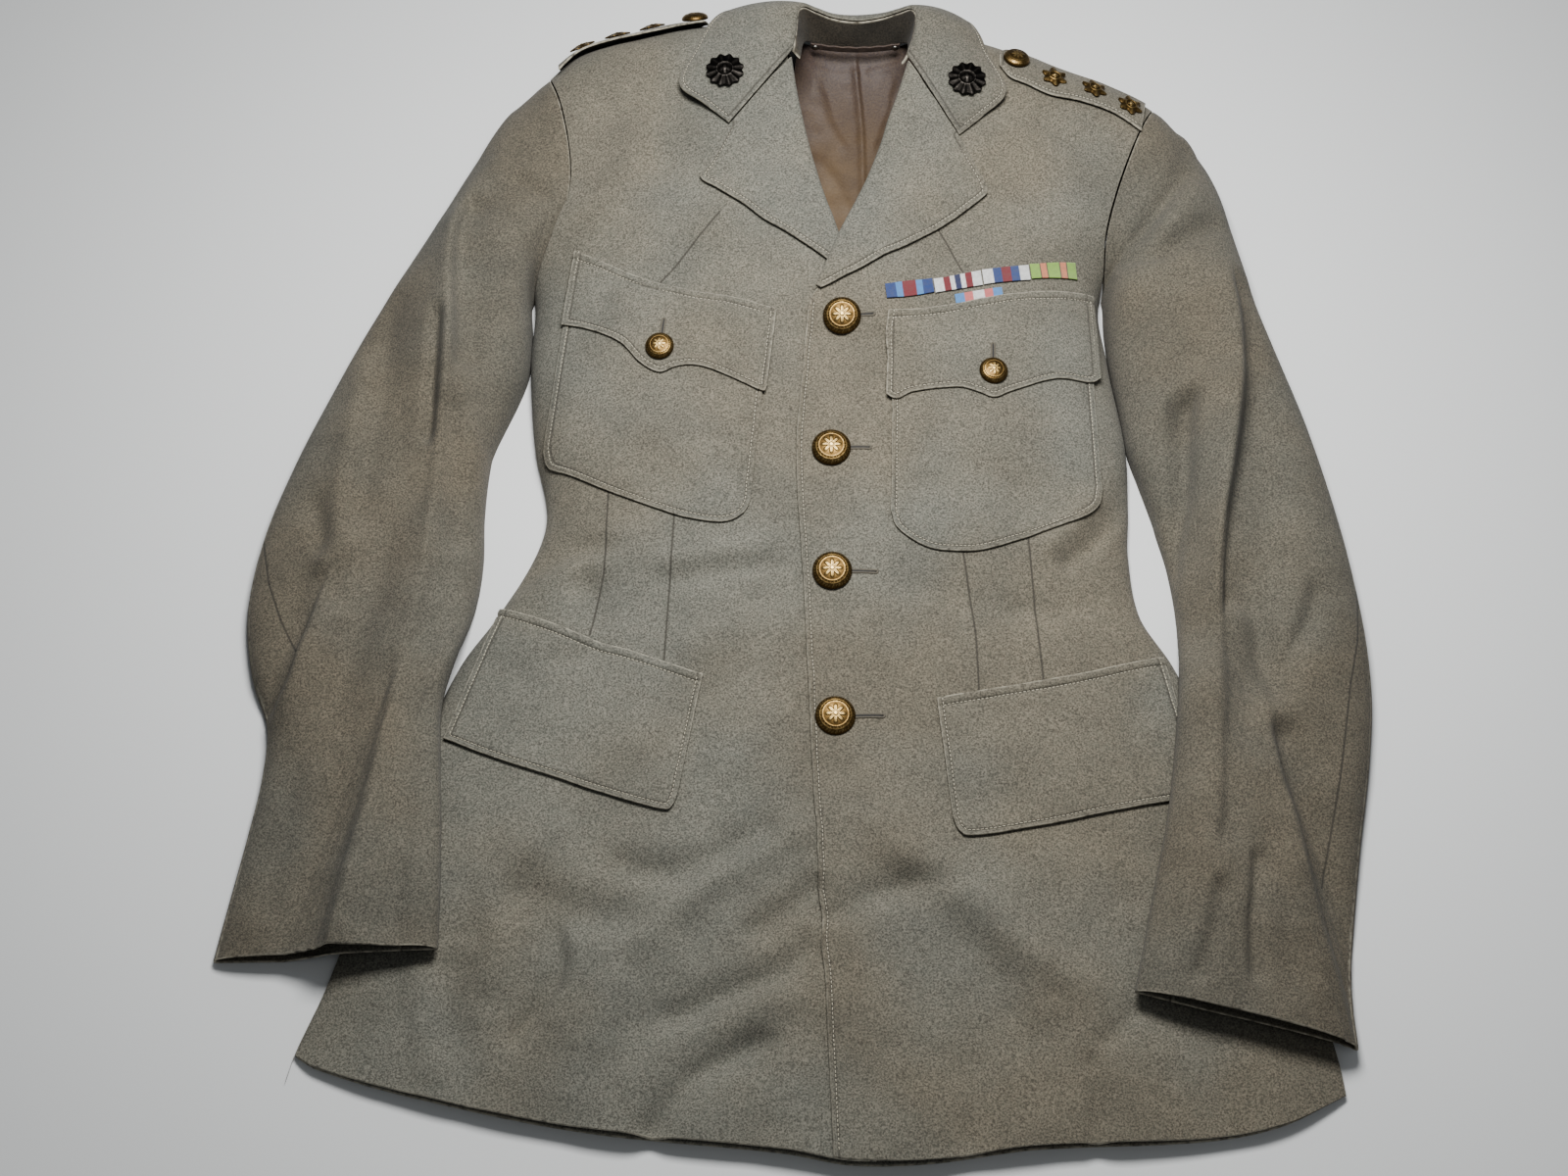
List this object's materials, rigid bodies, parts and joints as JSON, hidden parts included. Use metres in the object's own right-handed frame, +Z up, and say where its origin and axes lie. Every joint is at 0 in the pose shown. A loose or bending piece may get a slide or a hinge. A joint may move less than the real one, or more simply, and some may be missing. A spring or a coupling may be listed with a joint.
{
  "type": "uniform jacket",
  "caption": "Long-sleeved wool service jacket with lapels, flap pockets, shoulder straps and metal buttons, fastened and laid flat, face up.",
  "frame": {"origin": "under the middle of the jacket's box, on the surface that it lies on", "axes": "+X to the wearer's left, +Y from the hem to the collar, +Z up from the surface, out of the jacket's face"},
  "size_m": [0.7237, 0.8425, 0.072],
  "materials": {
    "khaki_barathea": "close twill wool, matt, flecked grey-brown, edges worn paler",
    "khaki_facing": "the same wool, pressed flat along the roll line",
    "strap_cloth": "the same wool, stiffened, a little curled",
    "brown_lining": "smooth lining twill, faint sheen, stained",
    "gilt_brass": "gilt, tarnished in the hollows",
    "dark_bronze": "blackened bronze with worn high spots",
    "pale_stud": "dull pale metal",
    "ribbon_blue": "ribbed silk, striped",
    "ribbon_white": "ribbed silk, striped",
    "ribbon_red": "ribbed silk, striped",
    "ribbon_green": "ribbed silk, striped",
    "ribbon_pink": "ribbed silk, striped"
  },
  "bodies": {
    "root": {"back": "khaki_barathea", "front_left": "khaki_barathea", "front_right": "khaki_barathea", "lapel_left": "khaki_facing", "lapel_right": "khaki_facing", "collar_fall": "khaki_barathea", "collar_stand": "khaki_barathea", "top_sleeve_left": "khaki_barathea", "top_sleeve_right": "khaki_barathea", "under_sleeve_left": "khaki_barathea", "under_sleeve_right": "khaki_barathea", "breast_pocket_left": "khaki_barathea", "breast_pocket_right": "khaki_barathea", "breast_flap_left": "khaki_barathea", "breast_flap_right": "khaki_barathea", "hip_flap_left": "khaki_barathea", "hip_flap_right": "khaki_barathea", "shoulder_strap_left": "strap_cloth", "shoulder_strap_right": "strap_cloth", "back_lining": "brown_lining", "hanger_loop": "brown_lining", "loop_stud_1": "pale_stud", "loop_stud_2": "pale_stud", "front_button_1": "gilt_brass", "front_button_2": "gilt_brass", "front_button_3": "gilt_brass", "front_button_4": "gilt_brass", "pocket_button_left": "gilt_brass", "pocket_button_right": "gilt_brass", "strap_button_left": "gilt_brass", "strap_button_right": "gilt_brass", "pip_left_1": "gilt_brass", "pip_left_2": "gilt_brass", "pip_left_3": "gilt_brass", "pip_right_1": "gilt_brass", "pip_right_2": "gilt_brass", "pip_right_3": "gilt_brass", "collar_badge_left": "dark_bronze", "collar_badge_right": "dark_bronze", "ribbon_1": "ribbon_blue", "ribbon_2": "ribbon_white", "ribbon_3": "ribbon_red", "ribbon_4": "ribbon_green", "ribbon_5": "ribbon_pink"}
  },
  "joints": []
}
